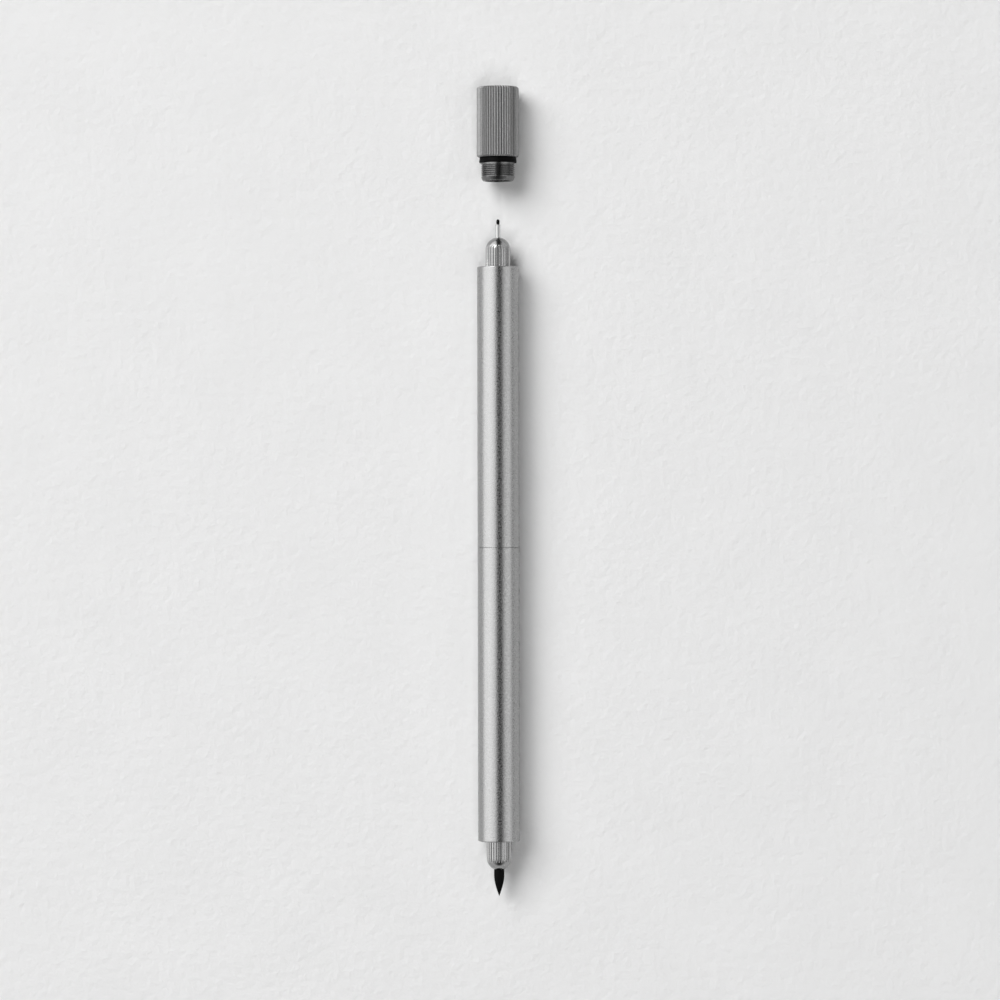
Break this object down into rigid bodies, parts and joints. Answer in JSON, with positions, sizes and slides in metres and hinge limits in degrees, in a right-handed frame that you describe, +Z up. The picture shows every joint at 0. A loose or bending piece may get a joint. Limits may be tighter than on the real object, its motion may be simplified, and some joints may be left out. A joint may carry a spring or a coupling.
{
  "type": "twin-tip fineliner and brush pen",
  "caption": "Slim metal pen with a fineliner at one end and a brush at the other, a barrel that unscrews at a seam, and a ridged screw cap lying off the fineliner end.",
  "frame": {"origin": "on the ground, under the middle of the pen and cap as they lie in line", "axes": "+Y along the pen from the brush towards the fineliner and the cap, +Z up"},
  "size_m": [0.01, 0.1926, 0.01],
  "materials": {
    "barrel_anodised": "bead-blasted and clear anodised, satin",
    "cap_anodised": "straight-knurled and anodised, satin",
    "nose_metal": "turned, fluted and polished",
    "sleeve_steel": "drawn tube, bright",
    "joiner_aluminium": "turned, as machined",
    "seal_rubber": "moulded, black",
    "nib_fibre": "bonded fibre, black with ink",
    "brush_fibre": "fine synthetic fibre, black with ink",
    "cartridge_plastic": "extruded tube, milky",
    "reservoir_fibre": "wrapped polyester fibre, soaked with ink",
    "plug_plastic": "moulded",
    "bumper_rubber": "soft cellular pad"
  },
  "bodies": {
    "front": {"front_barrel": "barrel_anodised", "barrel_joiner": "joiner_aluminium", "joiner_seal_ring": "seal_rubber", "fineliner_nose": "nose_metal", "fineliner_sleeve": "sleeve_steel", "fineliner_nib": "nib_fibre", "fineliner_nose_seal": "seal_rubber", "fineliner_cartridge_tube": "cartridge_plastic", "fineliner_reservoir": "reservoir_fibre", "fineliner_end_plug": "plug_plastic", "cartridge_bumper": "bumper_rubber"},
    "brush_unit": {"brush_nose": "nose_metal", "brush_tip": "brush_fibre", "brush_collar": "plug_plastic", "brush_nose_seal": "seal_rubber", "brush_cartridge_tube": "cartridge_plastic", "brush_reservoir": "reservoir_fibre", "brush_end_plug": "plug_plastic"},
    "rear": {"rear_barrel": "barrel_anodised"},
    "cap_seal": {"cap_seal_ring": "seal_rubber"},
    "cap": {"cap": "cap_anodised"}
  },
  "joints": [
    {"name": "cap_slide", "type": "slide", "parent": "front", "child": "cap_seal", "axis": [0, 1, 0], "range_m": [-0.02605, 0]},
    {"name": "cap_turn", "type": "hinge", "parent": "cap_seal", "child": "cap", "pos_m": [0, 0.07963, 0.005], "axis": [0, 1, 0], "continuous": true},
    {"name": "barrel_draw", "type": "slide", "parent": "front", "child": "brush_unit", "axis": [0, -1, 0], "range_m": [0, 0.00565]},
    {"name": "barrel_turn", "type": "hinge", "parent": "brush_unit", "child": "rear", "pos_m": [0, -0.01328, 0.005], "axis": [0, -1, 0], "range_deg": [0, 2700]}
  ],
  "couplings": [
    {"joint": "barrel_draw", "follows": "barrel_turn", "m_per_rad": 0.00011937}
  ]
}
